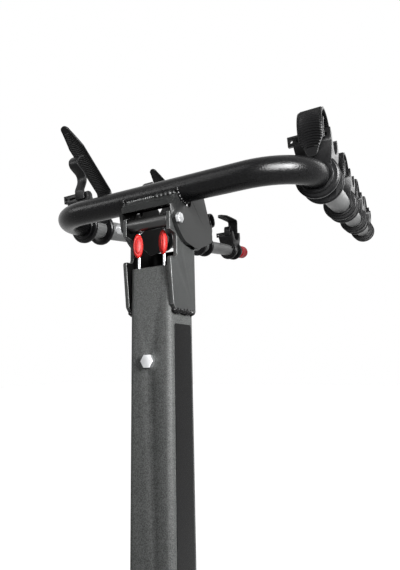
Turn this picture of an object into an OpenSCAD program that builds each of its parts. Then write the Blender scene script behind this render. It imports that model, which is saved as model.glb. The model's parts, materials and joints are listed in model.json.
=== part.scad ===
// Hanging bicycle rack for a square hitch receiver: a tilting mast, a folding pair of
// arms and four strap cradles on each arm. The vehicle is on the -Y side, the arms
// reach out along +Y and the origin is the centre of the hitch pin hole.

/* [Mast] */
// Outside width of the square mast tube
mast_w = 50.8; // [45:0.1:60]
// Wall of the mast tube
mast_wall = 3; // [2:0.5:5]
// Outside corner radius of the mast tube
mast_corner = 6.8; // [5.5:0.1:9]
// Distance from the hitch pin hole back to the mast's axis
mast_y = 235; // [210:1:320]
// Height of the arms' pivot above the hitch pin hole
pivot_z = 720; // [600:5:860]
// Height of the arms' pivot above the cut front wall of the mast
pivot_above_edge = 48.4; // [44:0.2:55]
// Mast tube below the foot pivot
mast_below = 28; // [22:1:32]

/* [Collar] */
// Thickness of the sheet that wraps the mast top
collar_t = 4.5; // [3:0.5:6]
// Collar's lower edge below the cut front wall
collar_drop = 46; // [35:1:60]
// Collar's rear top edge above the cut front wall
collar_rise = 29; // [22:0.5:30]
// How far the collar's front stands ahead of the mast at the top
collar_ahead = 5.6; // [4:0.2:8]
// Radius of the ears' round fronts, about the pivot
ear_r = 9.6; // [8.8:0.1:11]
// Rear edge of the ears behind the pivot
ear_back = 14.4; // [14:0.1:14.8]
// Depth of the finger cut-outs behind the collar's front edge
finger_depth = 13; // [8:1:18]

/* [Fold pivot] */
// Diameter of the pivot bolt
pivot_d = 6; // [5:0.5:8]
// Outside diameter of the pivot sleeve between the ears
sleeve_d = 14; // [12:0.5:16]
// Pivot axis behind the front face of the mast
pivot_back = 0.8; // [0:0.2:3]
// Width across the flats of the pivot bolt's head
pivot_head_af = 10; // [9:0.5:14]
// Angle that the arms fold down from their raised place
fold_range = 80; // [60:1:81]

/* [Arm bracket] */
// Thickness of the bracket sheet
bracket_t = 4.5; // [3:0.5:6]
// Gap between each ear and the bracket's cheek
cheek_gap = 0.6; // [0.4:0.1:1.5]
// Length of the cheeks behind the pivot
cheek_back = 84; // [78:1:95]
// Depth of the cheeks below the pivot
cheek_low = 29.3; // [26:0.1:32]
// Front face of the bracket's web ahead of the pivot
web_ahead = 6; // [5:0.2:8]
// Lower edge of the web above the pivot
web_low = 15.2; // [15.2:0.2:18]
// Upper edge of the web above the pivot
web_top = 21.8; // [21:0.1:24]
// Outside radius of the bends between web and cheeks
bend_r = 8; // [6:0.5:11]

/* [Arms] */
// Diameter of the bent carry tube
bar_d = 28.6; // [25:0.1:32]
// Wall of the carry tube
bar_wall = 2; // [1.5:0.1:3]
// Distance of each arm's axis from the middle
arm_x = 165.6; // [150:0.2:190]
// Centre-line radius of the two bends
arm_bend = 60; // [55:1:62]
// Length of the arms from the cross tube's axis
arm_len = 715; // [700:1:760]
// Angle of the arms above level
arm_rise = 9.3; // [5:0.1:12]
// Cross tube's axis behind the pivot, along the arms
bar_u = 19.8; // [18:0.2:22]
// Cross tube's axis above the pivot, square to the arms
bar_v = 34; // [33:0.2:36]
// Outside diameter of the end caps
cap_d = 34; // [31:0.5:38]
// Length of the end caps over the tube
cap_over = 40; // [25:1:45]
// Length of the domed tip of the end caps
cap_tip = 9; // [5:0.5:14]
// Wall of the cap past the tube's end
cap_end = 2; // [1:0.5:4]

/* [Cradles] */
// First cradle's centre from the cross tube's axis
cradle_first = 83; // [83:1:90]
// Clear length of arm between the last cradle and the end cap
cap_clear = 22; // [18:1:40]
// Outside radius of the rings round the arm
ring_r = 24; // [21:0.5:27]
// Width of each ring's band
ring_w = 6; // [5:0.5:8]
// Half the distance between the rings of a cradle
ring_u = 18; // [16:0.5:18]
// Length of the small lip beside each ring
ring_lip = 2.5; // [1:0.5:3]
// Running clearance of the rings on the arm
ring_gap = 0.1; // [0.05:0.01:0.1]
// Width of the saddle across the arm
saddle_w = 40; // [34:1:46]
// Half the length of the saddle along the arm
saddle_u = 27; // [25:0.5:29]
// Height of the saddle's rims above the arm's axis
saddle_v = 47; // [44:0.5:50]
// Radius of the trough for the bicycle's tube
trough_r = 19; // [15:0.5:20]
// Width of the straps
strap_w = 26; // [18:1:30]
// Thickness of the strap band
strap_t = 2.4; // [1.8:0.1:3.2]
// Length of the straps
strap_len = 140; // [137:1:143]
// Height of the ribs on the straps
rib_h = 1; // [0.6:0.1:1.4]
// Spacing of the ribs on the straps
rib_pitch = 4; // [3:0.5:6]
// Width of the hooked tongue in front of each trough
tongue_w = 16; // [10:1:20]
// Distance of the tongue from the middle of the trough
tongue_x = 6; // [0:0.5:8]
// Thickness of the hooked tongue
tongue_t = 2.6; // [2:0.1:3.4]

/* [Latch] */
// Diameter of the latch spring's wire
wire_d = 3.2; // [2.5:0.1:3.4]
// Latch bolt's axis below the cut front wall
latch_drop = 97.7; // [90:0.1:110]
// Diameter of the latch bolt
latch_bolt_d = 8; // [6:0.5:10]
// Mean radius of the spring's coil
coil_r = 8.5; // [7.5:0.1:10]
// Full turns of the spring's coil, before the last half turn
coil_turns = 2; // [1:1:3]
// Distance of each wire leg from the middle at the grips
leg_x = 16; // [14:0.5:18]
// Latch hole's distance behind the pivot
tip_back = 10.6; // [10.2:0.1:10.8]
// Height of the grips
grip_h = 27; // [22:1:30]
// Diameter of the grips at their middle
grip_d = 10.8; // [9:0.2:13]
// Upper end of the grips below the pivot
grip_drop = 9; // [8.5:0.1:14]

/* [Foot] */
// Outside width of the square hitch shank
shank_w = 50.8; // [50:0.1:51]
// Wall of the hitch shank
shank_wall = 4.8; // [4:0.1:6]
// Shank ahead of the hitch pin hole
shank_ahead = 65; // [45:1:80]
// Diameter of the hitch pin hole
pin_hole_d = 16; // [15:0.1:17]
// Thickness of the foot plates
plate_t = 6; // [5:0.5:8]
// Length of the foot plates along the shank
plate_ahead = 118; // [100:1:130]
// Gap between the foot plates and the mast
plate_gap = 0.3; // [0.2:0.1:0.6]
// Diameter of the foot pivot bolt
foot_bolt_d = 12; // [10:0.5:14]
// Diameter of the clamp bolt
clamp_bolt_d = 10; // [8:0.5:12]
// Distance from the foot pivot up to the clamp bolt
clamp_r = 60; // [52:1:70]
// Angle that the mast tilts back
tilt_range = 50; // [40:1:55]
// Diameter of the clamp knob
knob_d = 46; // [38:1:54]
// Gap under the clamp's head and knob
clamp_gap = 0.3; // [0.2:0.1:0.5]

/* [Hidden] */
$fn = 64;
eps = 0.01;
fit = 0.1;
half = mast_w / 2;
edge_z = pivot_z - pivot_above_edge;
pivot_y = mast_y - half + pivot_back;
bar_r = bar_d / 2;
collar_x = half + collar_t;
cheek_in = collar_x + cheek_gap;
cheek_out = cheek_in + bracket_t;
shank_end = mast_y - norm([half, mast_below]) - 1.5;
wire_r = wire_d / 2;
tip_z = pivot_z;
tip_y = pivot_y + tip_back;
latch_hole_d = wire_d + 0.8;
leg_y = mast_y - half + mast_wall + wire_r + 0.2;
latch_z = edge_z - latch_drop;
coil_pitch = wire_d + 0.7;
coil_y = mast_y - 12;
grip_y = leg_y - 2.6;
grip_top = pivot_z - grip_drop;
seat_gap = 1;
head_gap = 0.3;
head_h = 0.7 * pivot_d;
plate_in = max(half, shank_w / 2) + plate_gap;
plate_out = plate_in + plate_t;
last_cradle = arm_len - cap_over - cap_clear - saddle_u;
cradle_pitch = (last_cradle - cradle_first) / 3;
slot_v = saddle_v - 8;
slot_h = 3.2;
slot_depth = 3;
seat = slot_depth + 1;

function arc(c, r, a0, a1, n) =
  [for (i = [0 : n]) let (a = a0 + (a1 - a0) * i / n) c + r * [cos(a), sin(a)]];

// A square with round corners, for the square tubes
module round_square(w, r) {
  square([w, w - 2 * r], center = true);
  square([w - 2 * r, w], center = true);
  for (x = [-1, 1]) {
    for (y = [-1, 1]) {
      translate([x * (w / 2 - r), y * (w / 2 - r)]) circle(r);
    }
  }
}

// A cylinder along X between two places
module rod_x(d, x0, x1, y = 0, z = 0) {
  translate([x0, y, z]) rotate([0, 90, 0]) cylinder(d = d, h = x1 - x0);
}

// A cylinder along Y between two places
module rod_y(d, y0, y1, x = 0, z = 0) {
  translate([x, y0, z]) rotate([-90, 0, 0]) cylinder(d = d, h = y1 - y0);
}

// A side outline in Y and Z, extruded across X
module side_plate(x0, x1) {
  translate([x0, 0, 0]) rotate([90, 0, 90]) linear_extrude(x1 - x0) children();
}

// The folding arms' own frame: origin on the pivot, Y along the arms
module arm_frame() {
  translate([0, pivot_y, pivot_z]) rotate([arm_rise, 0, 0]) children();
}

// A hexagon head or nut along X
module hex_x(af, x0, x1, y, z) {
  translate([x0, y, z]) rotate([0, 90, 0]) rotate([0, 0, 30])
    cylinder(d = af / cos(30), h = x1 - x0, $fn = 6);
}

// Foot and shank
module shank_tube() {
  color("#2b2d2e") difference() {
    translate([0, -shank_ahead, 0]) rotate([-90, 0, 0])
      linear_extrude(shank_end + shank_ahead) difference() {
        round_square(shank_w, 5);
        round_square(shank_w - 2 * shank_wall, 2);
      }
    rod_x(pin_hole_d, -shank_w, shank_w);
  }
}

module shank_end_plug() {
  inner = shank_w - 2 * shank_wall;
  color("#161617") {
    translate([0, -shank_ahead - 3, 0]) rotate([-90, 0, 0])
      linear_extrude(3) round_square(shank_w, 5);
    translate([0, -shank_ahead, 0]) rotate([-90, 0, 0]) linear_extrude(14) difference() {
      round_square(inner - 0.2, 2);
      round_square(inner - 5, 1);
    }
  }
}

// A foot plate's outline round the foot pivot: bar along the shank, quadrant above
module foot_outline() {
  fan_r = clamp_r + 15;
  low = shank_w / 2;
  polygon(concat(
    [[-plate_ahead, low], [-plate_ahead, -low]],
    arc([0, 0], low, -90, 20, 12),
    arc([0, 0], fan_r, 90 - tilt_range - 13, 103, 16),
    [[-low - 22, low]]
  ));
}

// The arc slot that the clamp bolt travels in
module slot_outline() {
  w = clamp_bolt_d / 2 + 0.4;
  low = 90 - tilt_range;
  polygon(concat(
    arc([0, 0], clamp_r + w, low, 90, 16),
    arc([0, clamp_r], w, 105, 255, 8),
    arc([0, 0], clamp_r - w, 90, low, 16),
    arc(clamp_r * [cos(low), sin(low)], w, low + 195, low + 345, 8)
  ));
}

module foot_plate(x0) {
  color("#2b2d2e") difference() {
    translate([0, mast_y, 0]) side_plate(x0, x0 + plate_t) difference() {
      foot_outline();
      slot_outline();
    }
    rod_x(foot_bolt_d + 2 * fit, x0 - 1, x0 + plate_t + 1, mast_y, 0);
  }
  if (mast_w > shank_w) {
    foot_packing(x0 < 0 ? -1 : 1);
  }
}

// Fills the gap beside a shank that is narrower than the mast
module foot_packing(side) {
  seat_x = shank_w / 2 + plate_gap;
  color("#2b2d2e") translate([side * (seat_x + plate_in) / 2, 0, 0])
    rotate([90, 0, 0]) translate([0, 0, -shank_end]) linear_extrude(shank_end + plate_ahead - mast_y)
      square([plate_in - seat_x + 2 * eps, shank_w - 10], center = true);
}

module foot_plate_left() { foot_plate(-plate_out); }
module foot_plate_right() { foot_plate(plate_in); }

module foot_pivot_bolt() {
  color("silver") {
    rod_x(foot_bolt_d, -plate_out - 14, plate_out + 1, mast_y, 0);
    hex_x(19, plate_out, plate_out + 7.5, mast_y, 0);
  }
}

module foot_pivot_nut() {
  color("silver") difference() {
    hex_x(19, -plate_out - 12, -plate_out, mast_y, 0);
    rod_x(foot_bolt_d, -plate_out - 13, -plate_out + 1, mast_y, 0);
  }
}

// The sleeves keep the mast's walls apart under the bolts
module crush_sleeve(d, z) {
  inner = half - mast_wall;
  color("silver") difference() {
    rod_x(d + 6, -inner, inner, mast_y, z);
    rod_x(d + 2 * fit, -inner - 1, inner + 1, mast_y, z);
  }
}

module foot_crush_sleeve() { crush_sleeve(foot_bolt_d, 0); }
module clamp_crush_sleeve() { crush_sleeve(clamp_bolt_d, clamp_r); }

module clamp_bolt() {
  head = plate_out + clamp_gap;
  color("silver") {
    rod_x(clamp_bolt_d, -head - 1, plate_out + 24, mast_y, clamp_r);
    translate([-head, mast_y, clamp_r]) rotate([0, -90, 0])
      rotate_extrude() polygon([[0, 0], [11, 0], [11, 1.6], [7.5, 4.6], [0, 5.6]]);
  }
}

module clamp_knob() {
  x0 = plate_out + clamp_gap;
  lobe = 7;
  color("#161617") difference() {
    union() {
      rod_x(22, x0, x0 + 10, mast_y, clamp_r);
      rod_x(knob_d - 10, x0 + 8, x0 + 26, mast_y, clamp_r);
      for (i = [0 : 4]) {
        rod_x(2 * lobe, x0 + 8, x0 + 26,
          mast_y + (knob_d / 2 - lobe) * cos(72 * i),
          clamp_r + (knob_d / 2 - lobe) * sin(72 * i));
      }
    }
    rod_x(clamp_bolt_d + 2 * fit, x0 - 1, plate_out + 24 + eps, mast_y, clamp_r);
  }
}

// Mast
module mast_tube() {
  color("#555a58") difference() {
    translate([0, mast_y, -mast_below]) linear_extrude(edge_z + mast_below) difference() {
      round_square(mast_w, mast_corner);
      round_square(mast_w - 2 * mast_wall, mast_corner - mast_wall);
    }
    rod_x(foot_bolt_d + 2 * fit, -mast_w, mast_w, mast_y, 0);
    rod_x(clamp_bolt_d + 2 * fit, -mast_w, mast_w, mast_y, clamp_r);
    rod_y(latch_bolt_d + 2 * fit, mast_y - mast_w, mast_y + mast_w, 0, latch_z);
  }
}

// The collar's side: sloping front edge, finger cut-out, ear round the pivot, and a round
// seat in the top edge for the folded cross tube
module collar_outline() {
  front = -half - collar_ahead;
  ear_front = front - 0.8;
  pivot = [-half + pivot_back, pivot_above_edge];
  back = front + finger_depth;
  ear_rear = pivot[0] + ear_back;
  ear_a = acos((pivot[0] - ear_front) / ear_r);
  folded = atan2(bar_v, bar_u) + arm_rise - fold_range;
  difference() {
    polygon(concat(
      [[half + collar_t, -collar_drop], [-half + 4.4, -collar_drop], [-half, 5 - collar_drop]],
      arc([front + 3, 5], 3, 180, 90, 4),
      arc([back - 5, 13], 5, -90, 0, 4),
      arc([back - 5, 30], 5, 0, 90, 4),
      [[ear_front, 36]],
      arc(pivot, ear_r, 180 - ear_a, 90, 6),
      arc(pivot, ear_back, asin(ear_r / ear_back), 0, 5),
      arc([ear_rear + 3, collar_rise + 3], 3, 180, 270, 4),
      [[half + collar_t, collar_rise]]
    ));
    translate(pivot + norm([bar_u, bar_v]) * [cos(folded), sin(folded)])
      circle(bar_r + seat_gap);
  }
}

// The collar seen from above: left, back and right walls, open at the front
module collar_plan() {
  difference() {
    union() {
      round_square(2 * collar_x, mast_corner + collar_t);
      translate([-collar_x, -collar_x - 8]) square([2 * collar_x, collar_x + 8]);
    }
    round_square(mast_w, mast_corner);
    translate([-half, -collar_x - 9]) square([mast_w, collar_x + 9]);
  }
}

module mast_collar() {
  color("#3f4342") difference() {
    translate([0, mast_y, edge_z]) intersection() {
      translate([0, 0, -collar_drop - 1])
        linear_extrude(collar_drop + pivot_above_edge + ear_r + 2) collar_plan();
      side_plate(-collar_x - 1, collar_x + 1) collar_outline();
    }
    rod_x(pivot_d + 2 * fit, -mast_w, mast_w, pivot_y, pivot_z);
    rod_x(latch_hole_d, -mast_w, mast_w, tip_y, tip_z);
  }
}

module pivot_sleeve() {
  color("#1d1f20") difference() {
    rod_x(sleeve_d, -half, half, pivot_y, pivot_z);
    rod_x(pivot_d + 2 * fit, -half - 1, half + 1, pivot_y, pivot_z);
  }
}

module pivot_bolt() {
  color("silver") {
    head = cheek_out + head_gap;
    rod_x(pivot_d, -cheek_out - pivot_d - 3, head + 1, pivot_y, pivot_z);
    hex_x(pivot_head_af, head, head + head_h, pivot_y, pivot_z);
  }
}

module pivot_nut() {
  color("silver") difference() {
    hex_x(pivot_head_af, -cheek_out - head_gap - pivot_d, -cheek_out - head_gap, pivot_y, pivot_z);
    rod_x(pivot_d, -cheek_out - pivot_d - 1, -cheek_out, pivot_y, pivot_z);
  }
}

// Latch: one bolt carries the spring's coil, and each wire leg has a grip
module latch_bolt() {
  front = mast_y - half;
  color("silver") {
    rod_y(latch_bolt_d, front - 1, mast_y + half + 10, 0, latch_z);
    translate([0, front, latch_z]) rotate([90, 0, 0])
      cylinder(d = 13 / cos(30), h = 5.3, $fn = 6);
  }
}

module latch_nut() {
  color("silver") difference() {
    translate([0, mast_y + half, latch_z]) rotate([-90, 0, 0])
      cylinder(d = 13 / cos(30), h = 8, $fn = 6);
    rod_y(latch_bolt_d, mast_y + half - 1, mast_y + half + 9, 0, latch_z);
  }
}

// The wire's route: tip, leg, coil round the bolt, other leg, other tip
tip_out = cheek_out - 0.4;
coil_rings = 8;
coil_steps = coil_rings * coil_turns + coil_rings / 2;
coil_half = coil_pitch * (coil_turns + 0.5) / 2;
function leg(side, y0) = [
  [side * tip_out, tip_y, tip_z],
  [side * (tip_out - 7), tip_y, tip_z],
  [side * (leg_x + 4), tip_y, tip_z],
  [side * (leg_x + 1.2), tip_y - 0.2, tip_z - 1.2],
  [side * leg_x, tip_y - 1.4, tip_z - 3.4],
  [side * leg_x, leg_y + 1, grip_top + 1.6],
  [side * leg_x, leg_y, grip_top],
  [side * leg_x, leg_y, grip_top - grip_h],
  [side * leg_x, leg_y, edge_z - 12],
  [side * (leg_x - 1), leg_y + 1, edge_z - 24],
  [side * (coil_r + 0.8), y0, latch_z + 22],
  [side * coil_r, y0, latch_z + 8]
];
function coil_point(i) =
  let (a = -360 * i / coil_rings)
  [coil_r * cos(a), coil_y - coil_half + coil_pitch * i / coil_rings, latch_z + coil_r * sin(a)];
left_leg = leg(-1, coil_y + coil_half);
wire_route = concat(
  leg(1, coil_y - coil_half),
  [for (i = [0 : coil_steps]) coil_point(i)],
  [for (i = [len(left_leg) - 1 : -1 : 0]) left_leg[i]]
);

// A round wire swept along a route as rings of points
function unit(v) = v / norm(v);
function tangent(p, i) = unit(p[min(i + 1, len(p) - 1)] - p[max(i - 1, 0)]);
module swept_wire(route, r, sides) {
  last = len(route) - 1;
  points = [
    for (i = [0 : last]) let (t = tangent(route, i), n = unit(cross(t, [0, 1, 0.02])))
      for (k = [0 : sides - 1]) let (a = 360 * k / sides)
        route[i] + r * (cos(a) * n + sin(a) * cross(t, n))
  ];
  walls = [
    for (i = [0 : last - 1]) for (k = [0 : sides - 1])
      let (m = (k + 1) % sides, a = i * sides, b = a + sides)
      for (face = [[a + k, a + m, b + m], [a + k, b + m, b + k]]) face
  ];
  ends = [
    for (k = [1 : sides - 2]) for (face = [[0, k + 1, k],
      [last * sides, last * sides + k, last * sides + k + 1]]) face
  ];
  polyhedron(points, concat(walls, ends), convexity = 8);
}

turn_apart = coil_rings * 3 / 4;
turn_gap = min([for (i = [0 : coil_steps - turn_apart]) for (j = [i + turn_apart : coil_steps])
  norm(coil_point(i) - coil_point(j))]) - wire_d;
echo("least gap between the latch spring's turns, mm", turn_gap);

module latch_spring() {
  color("#c9ccce") swept_wire(wire_route, wire_r, 6);
}

// An oval turned about its own axis, moulded round the wire
module latch_grip(side) {
  steps = 16;
  color("#d8302c") difference() {
    translate([side * leg_x, grip_y, grip_top - grip_h / 2]) rotate_extrude()
      polygon([for (i = [0 : steps]) let (a = -90 + 180 * i / steps)
        [grip_d / 2 * cos(a), grip_h / 2 * sin(a)]]);
    translate([side * leg_x, leg_y, grip_top - grip_h - 1])
      cylinder(d = wire_d + 0.1, h = grip_h + 2);
  }
}

module latch_grip_left() { latch_grip(-1); }
module latch_grip_right() { latch_grip(1); }

// The cheek's outline in the arms' frame, origin on the pivot
module cheek_outline() {
  belly = [38, 14];
  belly_r = 44.5;
  difference() {
    polygon(concat(
      [[-web_ahead, web_top]],
      arc(belly, belly_r, 196, 238, 8),
      [[34, -cheek_low], [46, -cheek_low]],
      arc([cheek_back - 11, -11], 11, -62, 12, 6),
      arc([cheek_back - 21.5, 28], 9, 12, 90, 5),
      [[bar_u, 37]]
    ));
    translate([27.5, 23]) circle(7.5);
  }
}

// Plan of the bracket's front web with its two bends
module web_plan() {
  r_in = bend_r - bracket_t;
  difference() {
    union() {
      translate([-cheek_out + bend_r, -web_ahead])
        square([2 * (cheek_out - bend_r), bracket_t]);
      for (x = [-1, 1]) {
        translate([x * (cheek_out - bend_r), bend_r - web_ahead]) intersection() {
          circle(bend_r);
          translate([x > 0 ? 0 : -bend_r, -bend_r]) square([bend_r, bend_r]);
        }
      }
    }
    for (x = [-1, 1]) {
      translate([x * (cheek_out - bend_r), bend_r - web_ahead]) circle(r_in);
    }
  }
}

// The web's lip and its weld to the cross tube, from the side
module weld_outline() {
  toe = 198;
  inner = bracket_t - web_ahead - eps;
  polygon([
    [inner, web_top - bracket_t], [inner - 1.5, web_top],
    [bar_u + bar_r * cos(toe), bar_v + bar_r * sin(toe)], [bar_u, bar_v],
    [bar_u - 4, web_top - bracket_t]
  ]);
}

module arm_bracket() {
  bend_u = bend_r - web_ahead;
  color("#3f4342") arm_frame() difference() {
    union() {
      for (x = [-cheek_out, cheek_in]) {
        side_plate(x, x + bracket_t) intersection() {
          cheek_outline();
          union() {
            translate([bend_u - eps, -40]) square([cheek_back + 20, 100]);
            translate([-web_ahead - 1, -40]) square([cheek_back, 40 + web_low]);
          }
        }
      }
      translate([0, 0, web_low]) linear_extrude(web_top - web_low) web_plan();
      side_plate(-cheek_in, cheek_in) weld_outline();
    }
    rod_x(bar_d, -mast_w, mast_w, bar_u, bar_v);
    rod_x(pivot_d + 2 * fit, -mast_w, mast_w, 0, 0);
    rod_x(latch_hole_d, -mast_w, mast_w, tip_back * cos(arm_rise), -tip_back * sin(arm_rise));
  }
}

// The U-shaped carry tube as a solid of one radius
module bar_solid(r, over) {
  straight = arm_x - arm_bend;
  rotate([0, 90, 0]) translate([0, 0, -straight]) cylinder(r = r, h = 2 * straight);
  for (x = [-1, 1]) {
    translate([x * straight, arm_bend, 0])
      rotate([0, 0, x > 0 ? -90 : 180]) rotate_extrude(angle = 90)
        translate([arm_bend, 0]) circle(r);
    rod_y(2 * r, arm_bend, arm_len + over, x * arm_x, 0);
  }
}

module carry_bar() {
  color("#17181a") arm_frame() translate([0, bar_u, bar_v]) difference() {
    bar_solid(bar_r, 0);
    bar_solid(bar_r - bar_wall, 1);
  }
}

module end_cap(side) {
  r = cap_d / 2;
  skirt = 1.2;
  tip_end = cap_end + cap_tip;
  color("#c0202c") arm_frame() translate([side * arm_x, bar_u + arm_len, bar_v])
    rotate([-90, 0, 0]) rotate_extrude()
      polygon(concat(
        [[bar_r, -cap_over], [r - skirt, -cap_over], [r, -cap_over + 2], [r, cap_end - 4]],
        arc([r - 9, cap_end - 4], 9, 10, 60, 5),
        [[r - 9, tip_end - 5], [0, tip_end - 4.4], [0, 0], [bar_r, 0]]
      ));
}

module end_cap_left() { end_cap(-1); }
module end_cap_right() { end_cap(1); }

// Cradles: each one's frame has X across the arm, Y along it and Z up
module cradle_frame(side, i) {
  u = bar_u + cradle_first + cradle_pitch * (i - 1);
  arm_frame() translate([side * arm_x, u, bar_v]) children();
}

// A ring round the arm: a thin lip, a groove and the band
module cradle_ring(u, way) {
  r = bar_r + ring_gap;
  lip_r = ring_r - 5.5;
  side = ring_w / 2;
  translate([0, u, 0]) rotate([way * 90, 0, 0]) rotate_extrude() polygon([
    [r, -side], [ring_r - 1.5, -side], [ring_r, 1.5 - side], [ring_r, side - 1.5],
    [ring_r - 2, side], [lip_r, side], [lip_r, side + ring_lip - 0.8],
    [lip_r - 0.8, side + ring_lip], [r, side + ring_lip]
  ]);
}

// The saddle's section along the arm, with the trough for the bicycle's tube
module saddle_section() {
  wall = saddle_u - trough_r;
  rim_z = saddle_v;
  polygon(concat(
    [[-saddle_u + 5, 6], [saddle_u - 5, 6], [saddle_u, rim_z - 13], [saddle_u, rim_z]],
    [[trough_r + wall * 0.4, rim_z]],
    arc([0, rim_z - 3], trough_r, 0, -180, 16),
    [[-trough_r - wall * 0.4, rim_z], [-saddle_u, rim_z], [-saddle_u, rim_z - 13]]
  ));
}

// The saddle's outline seen along the arm, drawn in towards its foot
module saddle_front() {
  w = saddle_w / 2;
  knee = saddle_v - 14;
  polygon([[-w + 5, 0], [-w + 1, 24], [-w, knee], [-w, saddle_v + 1],
    [w, saddle_v + 1], [w, knee], [w - 1, 24], [w - 5, 0]]);
}

module cradle(side, i) {
  w = saddle_w / 2;
  lug = 6;
  color("#1b1c1e") cradle_frame(side, i) {
    difference() {
      union() {
        intersection() {
          side_plate(-w, w) saddle_section();
          translate([0, saddle_u + 1, 0]) rotate([90, 0, 0])
            linear_extrude(2 * saddle_u + 2) saddle_front();
        }
        for (way = [-1, 1]) {
          cradle_ring(way * ring_u, -way);
        }
      }
      rod_y(2 * (bar_r + ring_gap), -saddle_u - 5, saddle_u + 5);
      for (u = [-saddle_u - 1, saddle_u - slot_depth]) {
        translate([-w + 4, u, slot_v]) cube([saddle_w - 8, slot_depth + 1, slot_h]);
      }
    }
    difference() {
      translate([-w - lug, -saddle_u, saddle_v - 11]) cube([lug + 1, 5, 11]);
      rod_y(3.6, -saddle_u - 1, -saddle_u + 8, -w - 2, saddle_v - 5.5);
    }
  }
}

// A flat band follows a route of steps, each a length and the angle it turns
function walk(p, a, steps, k = 0) = k == len(steps) ? [] :
  let (
    n = max(1, ceil(steps[k][0] / band_step)),
    ds = steps[k][0] / n,
    da = steps[k][1] / n,
    run = stretch(p, a, ds, da, n)
  )
  concat(run, walk([run[n - 1][0], run[n - 1][1]], run[n - 1][2], steps, k + 1));
function stretch(p, a, ds, da, n) = n == 0 ? [] :
  let (b = a + da, q = p + ds * [cos(a + da / 2), sin(a + da / 2)])
  concat([[q[0], q[1], b]], stretch(q, b, ds, da, n - 1));
band_step = rib_pitch / 4;

// The band's outline; two of every four steps stand out as a rib on the ribbed side
module band(route, t, rib) {
  top = len(route) - 1;
  along = [for (q = route) [-sin(q[2]), cos(q[2])]];
  polygon(concat(
    [for (i = [0 : top]) [route[i][0], route[i][1]]
      - (t / 2 + ((i % 4 > 1 && i > rib_start && i < top) ? rib : 0)) * along[i]],
    [for (i = [top : -1 : 0]) [route[i][0], route[i][1]] + t / 2 * along[i]]
  ));
}
rib_start = 12;

// Straps rise from the rear rim; each step is a length and the angle that it turns, and the
// last step takes what is left of the strap's length
function total(steps, k = 0) = k == len(steps) ? 0 : steps[k][0] + total(steps, k + 1);
function to_tip(steps, turn) = concat(steps, [[strap_len - total(steps), turn]]);
strap_base = [saddle_u + strap_t / 2 + 0.2, saddle_v - 16];
tongue_base = [-saddle_u - tongue_t / 2 - 0.2, saddle_v - 10];
hook_clear = 5.5;
strap_over = PI / 2 * (strap_base[0] - tongue_base[0] + hook_clear);
strap_lean = [88, to_tip([[28, 0], [14, 44], [36, 12], [22, 0], [22, -28]], 0)];
strap_stand = [88, to_tip([[13, 0], [8, -44], [30, 0], [22, 90]], 0)];
strap_arch = [88, to_tip([[17, 0], [12, -10], [14, 0], [22, 96], [40, 14]], 0)];
strap_roll = [88, to_tip([[30, 0], [50, -180], [30, -130], [18, -130]], -100)];
strap_shut = [88, to_tip([[13, 0], [strap_over, 180]], 0)];
strap_taper = 16;
tip_r = 7;

// What is cut away beside the strap's narrowing end
module beside_tip() {
  w = strap_w / 2;
  difference() {
    translate([-w - 1, -strap_taper]) square([2 * w + 2, strap_taper + 1]);
    polygon(concat([[w, -strap_taper]], arc([0, -tip_r], tip_r, 20, 160, 8), [[-w, -strap_taper]]));
  }
}

module strap(side, i, form) {
  route = concat([[strap_base[0], strap_base[1], form[0]]],
    walk(strap_base, form[0], form[1]));
  tip = route[len(route) - 1];
  w = strap_w / 2;
  color("#0f0f11") cradle_frame(side, i) difference() {
    union() {
      side_plate(-w, w) band(route, strap_t, rib_h);
      translate([-w, strap_base[0] - seat, slot_v + 0.3]) cube([2 * w, seat, slot_h - 0.6]);
    }
    translate([0, tip[0], tip[1]]) rotate([tip[2], 0, 0]) translate([0, 0, -strap_t - 4])
      linear_extrude(2 * strap_t + 8) beside_tip();
  }
}

// The tongue stands in front of the trough with a hooked end for the strap
tongue_open = [90, [[11, 0], [4, -28], [9, 0], [10, 38], [8, 45], [8, 0], [14, -95], [14, -40]]];
tongue_shut = [90, [[12, 0], [8, -34], [6, -30]]];

module tongue(side, i, form) {
  route = concat([[tongue_base[0], tongue_base[1], form[0]]],
    walk(tongue_base, form[0], form[1]));
  color("#1b1c1e") cradle_frame(side, i) translate([tongue_x - tongue_w / 2, 0, 0]) {
    side_plate(0, tongue_w) band(route, tongue_t, 0);
    translate([0, tongue_base[0], slot_v + 0.3]) cube([tongue_w, seat, slot_h - 0.6]);
  }
}

module cradle_left_1() { cradle(-1, 1); }
module cradle_left_2() { cradle(-1, 2); }
module cradle_left_3() { cradle(-1, 3); }
module cradle_left_4() { cradle(-1, 4); }
module cradle_right_1() { cradle(1, 1); }
module cradle_right_2() { cradle(1, 2); }
module cradle_right_3() { cradle(1, 3); }
module cradle_right_4() { cradle(1, 4); }
module strap_left_1() { strap(-1, 1, strap_lean); }
module strap_left_2() { strap(-1, 2, strap_stand); }
module strap_left_3() { strap(-1, 3, strap_roll); }
module strap_left_4() { strap(-1, 4, strap_arch); }
module strap_right_1() { strap(1, 1, strap_shut); }
module strap_right_2() { strap(1, 2, strap_shut); }
module strap_right_3() { strap(1, 3, strap_shut); }
module strap_right_4() { strap(1, 4, strap_shut); }
module tongue_left_1() { tongue(-1, 1, tongue_open); }
module tongue_left_2() { tongue(-1, 2, tongue_open); }
module tongue_left_3() { tongue(-1, 3, tongue_open); }
module tongue_left_4() { tongue(-1, 4, tongue_shut); }
module tongue_right_1() { tongue(1, 1, tongue_shut); }
module tongue_right_2() { tongue(1, 2, tongue_shut); }
module tongue_right_3() { tongue(1, 3, tongue_shut); }
module tongue_right_4() { tongue(1, 4, tongue_shut); }

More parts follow.
